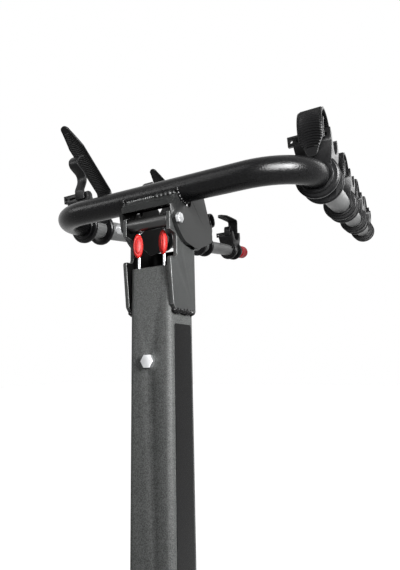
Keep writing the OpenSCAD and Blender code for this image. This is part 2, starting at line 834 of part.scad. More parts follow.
shank_tube();
shank_end_plug();
foot_plate_left();
foot_plate_right();
foot_pivot_bolt();
foot_pivot_nut();
foot_crush_sleeve();
clamp_crush_sleeve();
clamp_bolt();
clamp_knob();
mast_tube();
mast_collar();
pivot_sleeve();
pivot_bolt();
pivot_nut();
latch_bolt();
latch_nut();
latch_spring();
latch_grip_left();
latch_grip_right();
arm_bracket();
carry_bar();
end_cap_left();
end_cap_right();
cradle_left_1();
cradle_left_2();
cradle_left_3();
cradle_left_4();
cradle_right_1();
cradle_right_2();
cradle_right_3();
cradle_right_4();
strap_left_1();
strap_left_2();
strap_left_3();
strap_left_4();
strap_right_1();
strap_right_2();
strap_right_3();
strap_right_4();
tongue_left_1();
tongue_left_2();
tongue_left_3();
tongue_left_4();
tongue_right_1();
tongue_right_2();
tongue_right_3();
tongue_right_4();
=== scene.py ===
# %% [markdown]
# A hanging bicycle rack for the back of a car: a square mast stands on a hitch shank, a
# bent carry tube folds on the mast's top, and rubber straps hold the bicycles in eight
# cradles. The imported solids are the frame that everything here is built round, so the
# first step loads them, and a small helper reads the box of any one of them.

# %% Load the frame
import json
import math
import bmesh
import bpy
import numpy as np
from mathutils import Matrix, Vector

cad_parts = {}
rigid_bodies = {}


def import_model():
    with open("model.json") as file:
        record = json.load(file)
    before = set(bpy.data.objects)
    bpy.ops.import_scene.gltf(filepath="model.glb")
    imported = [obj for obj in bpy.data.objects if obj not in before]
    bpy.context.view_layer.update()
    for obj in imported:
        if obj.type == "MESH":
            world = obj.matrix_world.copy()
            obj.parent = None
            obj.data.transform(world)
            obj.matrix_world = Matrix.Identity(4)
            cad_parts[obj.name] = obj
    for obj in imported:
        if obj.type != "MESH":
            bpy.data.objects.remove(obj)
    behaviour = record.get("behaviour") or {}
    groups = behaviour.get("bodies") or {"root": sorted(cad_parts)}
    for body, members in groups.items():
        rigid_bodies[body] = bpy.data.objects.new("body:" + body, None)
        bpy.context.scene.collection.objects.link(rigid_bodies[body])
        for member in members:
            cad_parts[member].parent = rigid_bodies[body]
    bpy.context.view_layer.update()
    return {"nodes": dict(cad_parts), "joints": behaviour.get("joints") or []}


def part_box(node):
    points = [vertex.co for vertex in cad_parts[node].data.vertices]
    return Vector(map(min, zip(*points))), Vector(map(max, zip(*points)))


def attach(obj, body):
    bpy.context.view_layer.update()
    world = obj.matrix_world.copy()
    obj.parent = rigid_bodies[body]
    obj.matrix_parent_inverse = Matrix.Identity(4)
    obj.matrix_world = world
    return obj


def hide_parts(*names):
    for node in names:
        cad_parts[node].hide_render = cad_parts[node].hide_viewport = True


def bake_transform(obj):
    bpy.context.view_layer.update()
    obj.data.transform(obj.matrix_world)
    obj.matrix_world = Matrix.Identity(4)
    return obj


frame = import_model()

mm = 0.001

# %% [markdown]
# The arms rise from the pivot at an angle, so their pieces are drawn in the arms' own
# axes: x across, u along the arms and v square to them. The pivot and the angle could be
# typed in, but they are read from the joints and the solids' boxes, so that the dressed
# pieces follow the solids if these change.

# %% Places read from the joints
joints = {j["name"]: j for j in frame["joints"]}
pivot = np.array(joints["arms_fold"]["pos_m"])
along = np.array(joints["cradle_left_1_swivel"]["axis"])
mast_low, mast_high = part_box("mast_tube")
mast_half = mast_high[0]
mast_y = (mast_low[1] + mast_high[1]) / 2
edge_z = mast_high[2]
upward = np.array([0, -along[2], along[1]])
across = np.array([1.0, 0, 0])


def in_arms(p):
    """Place in the room = pivot + x across + u along the arms + v square to them."""
    p = np.asarray(p, float)
    return pivot + p[..., :1] * across + p[..., 1:2] * along + p[..., 2:3] * upward


def arm_values(place):
    """The other way round: x, u and v of a place in the room."""
    d = np.asarray(place, float) - pivot
    return np.array([d[0], d @ along, d @ upward])


first_cradle = arm_values(joints["cradle_right_1_swivel"]["pos_m"])
second_cradle = arm_values(joints["cradle_right_2_swivel"]["pos_m"])
arm_x = first_cradle[0]
bar_v = first_cradle[2]
pitch = second_cradle[1] - first_cradle[1]
bar_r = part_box("carry_bar")[1][0] - arm_x
print("arms rise", round(math.degrees(math.asin(along[2])), 2), "degrees, tube radius", bar_r)

# %% [markdown]
# Every new shape below is a grid of points. Curves with a round bevel could make the
# tubes and the wire, but a grid lets each row have its own size and each point its own
# lift, which the ribs and the beads of weld need. A sweep carries a section along a path.
# The section's axes come from the path's direction and one direction that is kept, which
# is enough for paths that never turn to point along it.

# %% Surfaces and sweeps
def surface(name, points):
    """Grid of points to a closed mesh: each cell of the grid is a face, the last column
    joins the first, and one face fills each end row."""
    rows, cols = points.shape[:2]
    index = np.arange(rows * cols).reshape(rows, cols)
    index = np.hstack([index, index[:, :1]])
    quads = np.stack([index[:-1, :-1], index[:-1, 1:], index[1:, 1:], index[1:, :-1]], -1)
    faces = quads.reshape(-1, 4).tolist()
    faces += [index[0, :-1][::-1].tolist(), index[-1, :-1].tolist()]
    mesh = bpy.data.meshes.new(name)
    mesh.from_pydata(points.reshape(-1, 3).tolist(), [], faces)
    bm = bmesh.new()
    bm.from_mesh(mesh)
    bmesh.ops.remove_doubles(bm, verts=bm.verts, dist=1e-7)
    bmesh.ops.recalc_face_normals(bm, faces=bm.faces)
    bm.to_mesh(mesh)
    bm.free()
    mesh.shade_smooth()
    piece = bpy.data.objects.new(name, mesh)
    bpy.context.scene.collection.objects.link(piece)
    return piece


def unit(v):
    """Vectors of length one."""
    return v / np.linalg.norm(v, axis=-1, keepdims=True)


def axes_along(path, kept):
    """For each point of a path: the direction square to the path that is nearest to the
    kept one, and the direction square to both."""
    t = unit(np.gradient(path, axis=0))
    kept = np.broadcast_to(np.asarray(kept, float), path.shape)
    a = unit(kept - (kept * t).sum(-1, keepdims=True) * t)
    return a, np.cross(t, a)


def sweep(name, path, section, kept):
    """Each row of points is the path's point plus the section laid on the two axes there.
    The section is one list of points, or one list for each point of the path."""
    a, b = axes_along(path, kept)
    section = np.asarray(section, float)
    if section.ndim == 2:
        section = np.broadcast_to(section, (len(path),) + section.shape)
    points = path[:, None] + section[..., :1] * a[:, None] + section[..., 1:] * b[:, None]
    return surface(name, points)


def ring(radius, sides):
    """A round section: cosine and sine of equal steps, times the radius."""
    turn = np.linspace(0, 2 * np.pi, sides, endpoint=False)
    return radius * np.stack([np.cos(turn), np.sin(turn)], -1)


def smooth_path(points, step):
    """A curve through given points, read every step metres: on each stretch a cubic
    whose slope at a point is half the line between that point's neighbours."""
    p = np.asarray(points, float)
    p = np.vstack([2 * p[0] - p[1], p, 2 * p[-1] - p[-2]])
    out = []
    for a, b, c, d in zip(p[:-3], p[1:-2], p[2:-1], p[3:]):
        n = max(2, int(np.linalg.norm(c - b) / step))
        t = np.linspace(0, 1, n, endpoint=False)[:, None]
        out.append(
            0.5 * (2 * b + (c - a) * t + (2 * a - 5 * b + 4 * c - d) * t**2
                   + (3 * b - a - 3 * c + d) * t**3)
        )
    out.append(p[-2][None])
    return np.vstack(out)


print("ready:", surface.__name__, sweep.__name__, ring.__name__, smooth_path.__name__)

# %% [markdown]
# Sheet and bar stock isn't sharp at its rims: a thin bright line runs along every edge
# where the rounding catches the lamps. A shader can fake that, but the exported model
# would lose it. So a copy of the solid is joined up, its flat triangles are merged, and a
# small bevel with corrected normals rounds what is left of the edges. The bevel is named,
# so that a later step can find it.

# %% Eased copies of solids
same_point = 2e-6
flat_angle = math.radians(0.6)
sharp_angle = math.radians(30)


def eased(node, width):
    """A copy of a solid with its sharp edges rounded to this width."""
    mesh = frame["nodes"][node].data.copy()
    mesh.materials.clear()
    bm = bmesh.new()
    bm.from_mesh(mesh)
    bmesh.ops.remove_doubles(bm, verts=bm.verts, dist=same_point)
    bmesh.ops.dissolve_limit(bm, angle_limit=flat_angle, verts=bm.verts, edges=bm.edges)
    bm.to_mesh(mesh)
    bm.free()
    mesh.shade_smooth()
    piece = bpy.data.objects.new(node + "_eased", mesh)
    bpy.context.scene.collection.objects.link(piece)
    bevel = piece.modifiers.new("rim", "BEVEL")
    bevel.width = width
    bevel.segments = 2
    bevel.limit_method = "ANGLE"
    bevel.angle_limit = sharp_angle
    bevel.use_clamp_overlap = True
    bevel.harden_normals = True
    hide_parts(node)
    return piece


def dress(piece, body, material):
    """Puts a piece on its body and gives it its material."""
    piece.data.materials.clear()
    piece.data.materials.append(material)
    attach(piece, body)
    return piece


print("edges over", round(math.degrees(sharp_angle)), "degrees will be rounded")

# %% [markdown]
# Each finish is a small node tree: noise read at the Object coordinates, a ramp that turns
# noise into tones, and a bump that turns it into relief. An image would need unwrapping;
# the noise needs none and stays with its piece when the piece moves. Three helpers build
# the parts that all the finishes share.

# %% Parts of a finish
def new_material(name):
    """A material with only its shader and output: the material, its shader, and the two
    calls that add a node and a link to its tree."""
    material = bpy.data.materials.new(name)
    material.use_nodes = True
    tree = material.node_tree
    return material, tree.nodes["Principled BSDF"], tree.nodes.new, tree.links.new


def noise_at_object(add, link, scale, detail):
    """The value of a noise with this many cells in a metre, finer by each step of detail."""
    place = add("ShaderNodeTexCoord")
    noise = add("ShaderNodeTexNoise")
    noise.inputs["Scale"].default_value = scale
    noise.inputs["Detail"].default_value = detail
    link(place.outputs["Object"], noise.inputs["Vector"])
    return noise.outputs["Fac"]


def tone_ramp(add, link, value, dark, light, low, high):
    """A colour that is dark up to the low value, light from the high one, even between."""
    tones = add("ShaderNodeValToRGB")
    tones.color_ramp.elements[0].position = low
    tones.color_ramp.elements[0].color = (*dark, 1)
    tones.color_ramp.elements[1].position = high
    tones.color_ramp.elements[1].color = (*light, 1)
    link(value, tones.inputs["Fac"])
    return tones.outputs["Color"]


def relief(add, link, height, shader, strength, depth):
    """The height, times the depth in metres, tilts the shader's normal."""
    bump = add("ShaderNodeBump")
    bump.inputs["Strength"].default_value = strength
    bump.inputs["Distance"].default_value = depth
    link(height, bump.inputs["Height"])
    link(bump.outputs["Normal"], shader.inputs["Normal"])


print("ready:", noise_at_object.__name__, tone_ramp.__name__, relief.__name__)

# %% [markdown]
# Powder coat is sprayed on as dust and baked: up close it has a fine orange-peel grain,
# and the grain breaks every highlight into specks. A dense noise drives a small bump and
# a slight change of tone, and a slow noise keeps wide faces from looking like one fill.
# The mast and its collar are greyer than the sheet bracket, and the cross tube is nearly
# black and the smoothest. The arms' pale grey is painted light: a lighter copy of the coat
# that stands for the light falling on them. The side panel's coat is black, and the pivot
# sleeve's mirrors a little more. The last two are painted light: a near-black coat of
# painted shade for the inside of open sheet parts, and a lighter, glossier coat of painted
# highlight for the sheets' rims.

# %% Powder coat
slow_scale, slow_share = 38, 0.14


def powder_coat(name, dark, light, roughness, grain, depth, specular):
    """The tone's value is the dense noise plus the slow one times its share. The dense
    noise alone is the height of the grain."""
    material, shader, add, link = new_material(name)
    fine = noise_at_object(add, link, scale=grain, detail=3)
    slow = noise_at_object(add, link, scale=slow_scale, detail=4)
    both = add("ShaderNodeMath")
    both.operation = "MULTIPLY_ADD"
    both.inputs[1].default_value = slow_share
    link(slow, both.inputs[0])
    link(fine, both.inputs[2])
    colour = tone_ramp(add, link, both.outputs["Value"], dark, light, low=0.42, high=0.72)
    link(colour, shader.inputs["Base Color"])
    relief(add, link, fine, shader, strength=0.55, depth=depth)
    shader.inputs["Roughness"].default_value = roughness
    shader.inputs["Specular IOR Level"].default_value = specular
    return material


mast_coat = powder_coat(
    "mast_coat", (0.054, 0.056, 0.055), (0.122, 0.126, 0.124),
    roughness=0.55, grain=1000, depth=0.0004, specular=0.08)
collar_coat = powder_coat(
    "collar_coat", (0.038, 0.039, 0.039), (0.074, 0.077, 0.076),
    roughness=0.46, grain=1200, depth=0.0002, specular=0.07)
sheet_coat = powder_coat(
    "sheet_coat", (0.013, 0.0135, 0.0134), (0.029, 0.0303, 0.03),
    roughness=0.42, grain=1200, depth=0.0002, specular=0.09)
black_coat = powder_coat(
    "black_coat", (0.002, 0.002, 0.0022), (0.006, 0.006, 0.0065),
    roughness=0.29, grain=1300, depth=0.00022, specular=0.07)
# Painted light: the arms' paler grey stands for the light falling on them.
arm_coat_painted_light = powder_coat(
    "arm_coat_painted_light", (0.11, 0.112, 0.112), (0.17, 0.173, 0.172),
    roughness=0.42, grain=1500, depth=0.0001, specular=0.2)
bar_coat = powder_coat(
    "bar_coat", (0.003, 0.003, 0.0033), (0.008, 0.008, 0.0085),
    roughness=0.25, grain=620, depth=0.0004, specular=0.1)
# Painted shade: a near-black coat for faces inside open parts, darker than their real coat.
painted_shade_coat = powder_coat(
    "painted_shade_coat", (0.001, 0.001, 0.001), (0.002, 0.002, 0.002),
    roughness=0.55, grain=900, depth=0.0001, specular=0.02)
sleeve_coat = powder_coat(
    "sleeve_coat", (0.006, 0.006, 0.006), (0.012, 0.012, 0.012),
    roughness=0.34, grain=1200, depth=0.0001, specular=0.35)
# Painted highlight: a lighter, glossier coat for rims and thin seams, where the lamps draw
# bright lines.
painted_highlight_coat = powder_coat(
    "painted_highlight_coat", (0.07, 0.072, 0.071), (0.16, 0.164, 0.162),
    roughness=0.35, grain=1200, depth=0.0001, specular=0.3)
print("coats:", [material.name for material in bpy.data.materials if "coat" in material.name])

# %% [markdown]
# The small hardware is zinc plated steel: bright, with turning marks too fine to see but
# enough to blur reflections, so the roughness itself varies from place to place. The
# latch wire is drawn steel, darker and a little smoother.

# %% Zinc and wire
def plated(name, tint, low, high, scale):
    """Metal whose roughness swings between the low and the high value with a noise."""
    material, shader, add, link = new_material(name)
    noise = noise_at_object(add, link, scale, detail=5)
    spread = add("ShaderNodeMapRange")
    spread.inputs["To Min"].default_value = low
    spread.inputs["To Max"].default_value = high
    link(noise, spread.inputs["Value"])
    link(spread.outputs["Result"], shader.inputs["Roughness"])
    relief(add, link, noise, shader, strength=0.25, depth=0.00008)
    shader.inputs["Base Color"].default_value = (*tint, 1)
    shader.inputs["Metallic"].default_value = 1
    return material


zinc = plated("zinc", (0.34, 0.345, 0.35), low=0.34, high=0.55, scale=420)
wire_steel = plated("wire_steel", (0.2, 0.205, 0.21), low=0.3, high=0.5, scale=700)
print("metals:", zinc.name, wire_steel.name)

# %% [markdown]
# The plastics differ in tone and in their skin. The grips are a bright warm red, and the
# end caps a deeper, cooler one. The cradles are black nylon with a satin skin, and the
# straps are rubber, blacker still and a little duller. All of them mirror only weakly,
# or the white room would wash out their colours.

# %% Plastics and rubber
def moulded(name, dark, light, roughness, scale, depth, specular):
    """A plastic: tone and relief from one noise, with an even gloss."""
    material, shader, add, link = new_material(name)
    noise = noise_at_object(add, link, scale, detail=4)
    colour = tone_ramp(add, link, noise, dark, light, low=0.35, high=0.7)
    link(colour, shader.inputs["Base Color"])
    relief(add, link, noise, shader, strength=0.3, depth=depth)
    shader.inputs["Roughness"].default_value = roughness
    shader.inputs["Specular IOR Level"].default_value = specular
    return material


grip_red = moulded(
    "grip_red", (0.47, 0.014, 0.012), (0.54, 0.022, 0.018),
    roughness=0.42, scale=260, depth=0.00002, specular=0.08)
cap_red = moulded(
    "cap_red", (0.32, 0.004, 0.01), (0.38, 0.008, 0.015),
    roughness=0.45, scale=240, depth=0.00005, specular=0.06)
nylon = moulded(
    "nylon", (0.003, 0.003, 0.0035), (0.007, 0.007, 0.0075),
    roughness=0.32, scale=300, depth=0.0001, specular=0.1)
rubber = moulded(
    "rubber", (0.001, 0.001, 0.0012), (0.003, 0.003, 0.0035),
    roughness=0.36, scale=500, depth=0.0001, specular=0.09)
print("plastics:", grip_red.name, cap_red.name, nylon.name, rubber.name)

# %% [markdown]
# The carry tube is one bent tube: a straight cross part, two bends of one radius and two
# long arms. Its centre line is worked out by distance along it, so the rings of the sweep
# lie close together in the bends and far apart on the straights. The cross part is black
# to just past the bends, and the arms get a paler grey that is painted light, standing for
# the light on them, so it is drawn as three lengths.

# %% The carry tube
bend_r = 60 * mm
first_reach = 83 * mm
bar_u = first_cradle[1] - first_reach
bar_length = 715 * mm
black_past = 4 * mm
tube_sides = 96
straight = arm_x - bend_r


def bar_line(s):
    """x and u of the tube's middle line at distance s from its centre: straight, then a
    quarter circle, then straight along the arm. Negative distances mirror x."""
    side = np.sign(s)
    d = np.abs(s)
    turn = np.clip((d - straight) / bend_r, 0, np.pi / 2)
    x = np.minimum(d, straight) + bend_r * np.sin(turn)
    u = bend_r * (1 - np.cos(turn)) + np.maximum(d - straight - bend_r * np.pi / 2, 0)
    return np.stack([side * x, bar_u + u, np.full_like(s, bar_v)], -1)


bend_end = straight + bend_r * np.pi / 2
arm_end = bend_end + bar_length - bend_r
half_line = np.concatenate([
    np.linspace(0, straight, 8, endpoint=False)[1:],
    np.linspace(straight, bend_end, 48, endpoint=False),
    np.linspace(bend_end, bend_end + black_past, 2),
])
cross_path = in_arms(bar_line(np.concatenate([-half_line[::-1], [0.0], half_line])))
cross_tube = sweep("cross_tube", cross_path, ring(bar_r, tube_sides), upward)
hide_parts("carry_bar")
dress(cross_tube, "arms", bar_coat)
# The arms' paler coat is painted light.
for side, word in ((-1, "left"), (1, "right")):
    reach = np.linspace(bend_end + black_past, arm_end, 24)
    arm_path = in_arms(bar_line(side * reach))
    arm = sweep("arm_tube_" + word, arm_path, ring(bar_r, tube_sides), upward)
    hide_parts("carry_bar")
    dress(arm, "arms", arm_coat_painted_light)
print("tube of", round(2 * arm_end, 3), "m")

# %% [markdown]
# The plates, the collar, the mast, the shank and the hardware keep their solids' shapes
# and only get small rounded rims. Modelling them again would add nothing, because each is
# plain stock with holes that the solids already have.

# %% Plates, collar, mast and hardware
for node, body, slot, material, width in (
    ("mast_collar", "mast", "black_coat", collar_coat, 0.7 * mm),
    ("mast_tube", "mast", "grey_coat", mast_coat, 0.4 * mm),
    ("pivot_sleeve", "mast", "black_coat", sleeve_coat, 0.4 * mm),
    ("shank_tube", "shank", "black_coat", mast_coat, 0.5 * mm),
    ("foot_plate_left", "shank", "black_coat", sheet_coat, 0.7 * mm),
    ("foot_plate_right", "shank", "black_coat", sheet_coat, 0.7 * mm),
    ("shank_end_plug", "shank", "black_plastic", nylon, 0.8 * mm),
    ("clamp_knob", "knob", "black_plastic", nylon, 1.5 * mm),
    ("clamp_bolt", "mast", "zinc", zinc, 0.4 * mm),
    ("foot_pivot_bolt", "shank", "zinc", zinc, 0.6 * mm),
    ("foot_pivot_nut", "shank", "zinc", zinc, 0.6 * mm),
    ("pivot_bolt", "mast", "zinc", zinc, 0.6 * mm),
    ("pivot_nut", "mast", "zinc", zinc, 0.6 * mm),
    ("latch_bolt", "mast", "zinc", zinc, 0.6 * mm),
    ("latch_nut", "mast", "zinc", zinc, 0.6 * mm),
    ("foot_crush_sleeve", "mast", "zinc", zinc, 0.3 * mm),
    ("clamp_crush_sleeve", "mast", "zinc", zinc, 0.3 * mm),
    ("arm_bracket", "arms", "black_coat", sheet_coat, 0.8 * mm),
):
    dress(eased(node, width), body, material)

# %% [markdown]
# The collar, the bracket and the mast's top are open, and one looks into them. Their
# insides hardly see the lamps, and this shade is painted in as well: faces that look
# towards the piece's own middle get a near-black coat of painted shade. The bright lines
# along the sheets' rims are painted highlight: the strips that the bevel adds get a
# lighter, glossier coat. A piece may hold several materials, one for each number that its
# faces carry.

# %% Painted shade inside and painted highlight on rims
def looks_inward(offset, normal):
    """True where a wall faces the middle plane: its normal points back along its offset."""
    return offset * normal < -0.7 * abs(offset)


def paint_shade_inside(node, highlight_rims):
    """The second material is the near-black coat of painted shade, for walls that face the
    middle plane in x. On the mast's pieces it is also for walls between the sides that face
    the middle in y. If the rims are to be highlighted, the bevel takes the third material, a
    lighter coat of painted highlight."""
    piece = bpy.data.objects[node + "_eased"]
    mesh = piece.data
    mesh.materials.append(painted_shade_coat)
    ys = [v.co.y for v in mesh.vertices]
    middle = (min(ys) + max(ys)) / 2
    for face in mesh.polygons:
        c, n = face.center, face.normal
        inside = looks_inward(c.x, n.x)
        if node != "arm_bracket" and abs(c.x) < mast_half - mm:
            inside = inside or looks_inward(c.y - middle, n.y)
        # Painted shade: inward faces take the near-black coat.
        face.material_index = int(inside)
    if highlight_rims:
        # Painted highlight: the bevel's strips take the lighter coat.
        mesh.materials.append(painted_highlight_coat)
        piece.modifiers["rim"].material = 2


paint_shade_inside("arm_bracket", highlight_rims=True)
paint_shade_inside("mast_collar", highlight_rims=True)
paint_shade_inside("mast_tube", highlight_rims=False)
print("insides are", painted_shade_coat.name, "and rims", painted_highlight_coat.name)

# %% [markdown]
# A cradle is one nylon moulding: two rings round the arm, a saddle with its trough, and a
# rim with the strap's slot and a lug. The tongue with its hooked end stands in front of
# the trough. Their solids hold all of that already, so they are eased and given a skin.

# %% Cradles and tongues
for side in ("left", "right"):
    for i in range(1, 5):
        body = f"cradle_{side}_{i}"
        dress(eased(f"cradle_{side}_{i}", 0.6 * mm), body, nylon)
        dress(eased(f"tongue_{side}_{i}", 0.4 * mm), body, nylon)
skins = [o.name for o in bpy.data.objects if o.name.endswith("_eased")]
print("cradles:", sum(name.startswith("cradle_") for name in skins))

# %% [markdown]
# A strap is a flat rubber band with a round, narrowing tip and fine ribs on both faces.
# It could be bent from a flat band by a modifier, but then its length would drift. Here
# its line is a row of stretches, each with a length in millimetres and an angle in
# degrees that it turns, so a loose strap can lean, stand, arch or roll and stays 140 mm
# long.

# %% The straps' lines
root_angle = 88
lean = [(6, -12), (17, 0), (10, 58), (77, 0), (30, 6)]
stand = [(13, 0), (8, -44), (30, 0), (22, 98), (67, 0)]
arch = [(17, 0), (12, -10), (18, 0), (9, 98), (50, 2), (34, 0)]
roll = [(30, 0), (50, -180), (30, -130), (18, -130), (12, -100)]
shut = [(13, 0), (98, 180), (29, 0)]
forms = {"left_1": lean, "left_2": stand, "left_3": roll, "left_4": arch}


def strap_line(steps, rows):
    """u, v and heading at even distances: the heading turns evenly along each stretch, and
    the place is the running sum of short steps along the heading."""
    length = np.cumsum([0] + [q[0] * mm for q in steps])
    angle = np.radians(root_angle + np.cumsum([0] + [q[1] for q in steps]))
    s = np.linspace(0, length[-1], rows)
    heading = np.interp(s, length, angle)
    middle = (heading[1:] + heading[:-1]) / 2
    hop = s[1] - s[0]
    u = np.concatenate([[0], np.cumsum(hop * np.cos(middle))])
    v = np.concatenate([[0], np.cumsum(hop * np.sin(middle))])
    return s, u, v, heading


print("strap lengths in mm:", {k: sum(q[0] for q in steps) for k, steps in forms.items()})

# %% [markdown]
# The ribs could be a texture, but they show at the band's outline where it bends, so they
# are in the surface: each face of the band is lifted by a wave. The ribs arch across the
# band, because the wave's phase slips with the square of the distance from the band's
# middle. A low hem runs along both edges, and the root and the tip are plain.

# %% Ribbed straps
root_u, root_v = 28.4 * mm, 31 * mm
strap_half, strap_t = 13.4 * mm, 2.4 * mm
tip_r, usual_taper = 7 * mm, 12 * mm
tapers = {"left_1": 26 * mm, "left_2": 26 * mm}
rib_pitch, rib_h, rib_bow = 2.8 * mm, 0.9 * mm, 3 * mm
plain_root, plain_tip = 14 * mm, 10 * mm
hem_h = 0.35 * mm


def band_section(edge=0.98, count=25):
    """One turn round the band's section: a is the place across it, from -1 to 1, and face
    is -1 below, 1 above and 0 at both edges."""
    below, above = np.linspace(-edge, edge, count), np.linspace(edge, -edge, count)
    a = np.concatenate([below, [1.0], above, [-1.0]])
    face = np.concatenate([-np.ones(count), [0], np.ones(count), [0]])
    return a, face


def strap(name, steps, centre, taper_length):
    """Half-width: full, then a straight taper to the tip's radius, then the tip's quarter
    circle. Lift of both faces: half the thickness, plus a rib of 0.5 + 0.8 cos(2 pi phase)
    cut off at 0 and 1, faded at the edges and at both ends, or the hem where that is
    higher. Phase: (distance - bow times a squared) / pitch."""
    s, u, v, heading = strap_line(steps, 420)
    u, v = u + root_u, v + root_v
    left = s[-1] - s
    taper = tip_r + (strap_half - tip_r) * np.clip((left - tip_r) / taper_length, 0, 1)
    round_off = tip_r**2 - np.clip(tip_r - left, 0, tip_r) ** 2
    half = np.where(left < tip_r, np.sqrt(np.clip(round_off, (0.3 * mm) ** 2, None)), taper)
    a, face = band_section()
    phase = (s[:, None] - rib_bow * a[None] ** 2) / rib_pitch
    fade = np.clip((0.9 - np.abs(a)) / 0.06, 0, 1)[None]
    fade = fade * np.clip((s - plain_root) / mm, 0, 1)[:, None]
    fade = fade * np.clip((left - plain_tip) / mm, 0, 1)[:, None]
    rib = rib_h * fade * np.clip(0.5 + 0.8 * np.cos(2 * np.pi * phase), 0, 1)
    hem = hem_h * np.exp(-(((np.abs(a) - 0.94) / 0.04) ** 2))[None]
    lift = face[None] * (strap_t / 2 + np.maximum(rib, hem))
    x = half[:, None] * a[None]
    uu = u[:, None] - np.sin(heading)[:, None] * lift
    vv = v[:, None] + np.cos(heading)[:, None] * lift
    points = in_arms(np.stack([centre[0] + x, centre[1] + uu, centre[2] + vv], -1))
    return surface(name, points)


for side, sign in (("left", -1), ("right", 1)):
    for i in range(1, 5):
        key = f"{side}_{i}"
        centre = [sign * arm_x, first_cradle[1] + pitch * (i - 1), bar_v]
        steps, taper = forms.get(key, shut), tapers.get(key, usual_taper)
        piece = strap("strap_" + key + "_ribbed", steps, centre, taper)
        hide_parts("strap_" + key)
        dress(piece, "cradle_" + key, rubber)

# %% [markdown]
# The end caps are soft moulded red plastic, pulled over the tube's ends with a round nose.
# Each one is a profile turned about the arm's line. Blender's Spin could turn it too, but
# the grid closes its own seam and needs no merging by hand.

# %% End caps
def turned(name, origin, axis, kept, profile, sides=64):
    """Profile points (distance along the axis, radius) carried round the axis."""
    profile = np.asarray(profile, float)
    axis = np.asarray(axis, float)
    a = unit(np.asarray(kept, float) - np.dot(kept, axis) * axis)
    b = np.cross(axis, a)
    turn = np.linspace(0, 2 * np.pi, sides, endpoint=False)
    out = np.cos(turn)[:, None] * a + np.sin(turn)[:, None] * b
    points = np.asarray(origin) + profile[:, :1, None] * axis + profile[:, 1:, None] * out[None]
    return surface(name, points)


cap_r, nose_start, nose_length = 17, -9, 16
swell = np.linspace(0, 1, 20)[1:]
fall_off = np.clip(1 - swell**2.6, 0, 1) ** (1 / 2.2)
nose = np.stack([nose_start + nose_length * swell, cap_r * fall_off], -1)
# Millimetres past the tube's end, and radius: the lip inside, its rolled edge, the wall
skirt = [
    [-40, 14.0], [-40, 15.6], [-39.7, 16.4], [-39, 16.9], [-38, 17], [-37.4, 17.15],
    [-36, 17.15], [-35.4, cap_r], [-20, cap_r], [nose_start, cap_r],
]
cap_profile = np.vstack([skirt, nose]) * mm
for side, sign in (("left", -1), ("right", 1)):
    end = in_arms(np.array([sign * arm_x, bar_u + bar_length, bar_v]))
    cap = turned("cap_" + side, end, along, upward, cap_profile)
    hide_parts("end_cap_" + side)
    dress(cap, "arms", cap_red)
print("caps end", round(float(nose[-1][0]), 1), "mm past the tube")

# %% [markdown]
# The latch spring is one round wire: a coil on its bolt inside the mast, a leg up each side
# through the grip, and a tip through each cheek. The wire is drawn as a coil and two legs:
# the coil is put on the mast, and each leg is left on no body, in its place in the room.

# %% Latch wire
wire_r = 1.6 * mm
front_y = mast_y - mast_half
coil_r, coil_pitch, coil_turns = 8.5, 3.9, 2.5
coil_y, coil_z = mast_half / mm - 12, -97.7
leg_x, leg_y = 16.0, 4.8
grip_h = 27
grip_top = (pivot[2] - edge_z) / mm - 9
tip_x, tip_y, tip_z = 34.6, (pivot[1] - front_y) / mm + 10.6, (pivot[2] - edge_z) / mm


def wire_leg(side, y0):
    """The leg's points from its tip down to the coil, in millimetres from the middle of the
    mast's front top edge."""
    return [
        (side * tip_x, tip_y, tip_z), (side * 26, tip_y, tip_z),
        (side * (leg_x + 3.6), tip_y, tip_z), (side * (leg_x + 1.2), tip_y - 0.2, tip_z - 1.2),
        (side * leg_x, tip_y - 1.4, tip_z - 3.4), (side * leg_x, leg_y + 1, grip_top + 1.6),
        (side * leg_x, leg_y, grip_top), (side * leg_x, leg_y, grip_top - grip_h),
        (side * leg_x, leg_y, -12), (side * (leg_x - 1), leg_y + 1, -24),
        (side * (coil_r + 0.8), y0, coil_z + 22), (side * coil_r, y0, coil_z + 8),
        (side * coil_r, y0, coil_z),
    ]


def from_front(p):
    """Millimetres from the middle of the mast's front top edge to a place in the room."""
    return np.array([0, front_y, edge_z]) + np.asarray(p, float) * mm


def wire_piece(name, path, body):
    """A round wire along a path, whose kept direction is nearly along Y. With no body, the
    piece is left unattached."""
    piece = sweep(name, path, ring(wire_r, 20), [0.13, 1.0, 0.21])
    piece.data.materials.append(wire_steel)
    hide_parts("latch_spring")
    if body:
        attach(piece, body)
    return piece


coil_turn = np.linspace(0, -2 * np.pi * coil_turns, 200)
coil = np.stack([
    coil_r * np.cos(coil_turn),
    coil_y - coil_pitch * coil_turns / 2 - coil_pitch * coil_turn / (2 * np.pi),
    coil_z + coil_r * np.sin(coil_turn),
], -1)
wire_piece("latch_coil", from_front(coil), "mast")
for side, word, end in ((1, "right", coil[0]), (-1, "left", coil[-1])):
    leg = smooth_path(from_front(wire_leg(side, end[1])), 0.8 * mm)
    piece = wire_piece("latch_leg_" + word, leg, None)
    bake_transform(piece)
print("wire of", round(2 * wire_r / mm, 1), "mm")

# %% [markdown]
# The grips are flat ovals moulded on the wire, with an inset oval on each broad face. Cut
# with a boolean, the inset would have a hard rim. Here it is part of the surface's own
# formula, so its edge is as soft as a moulded one.

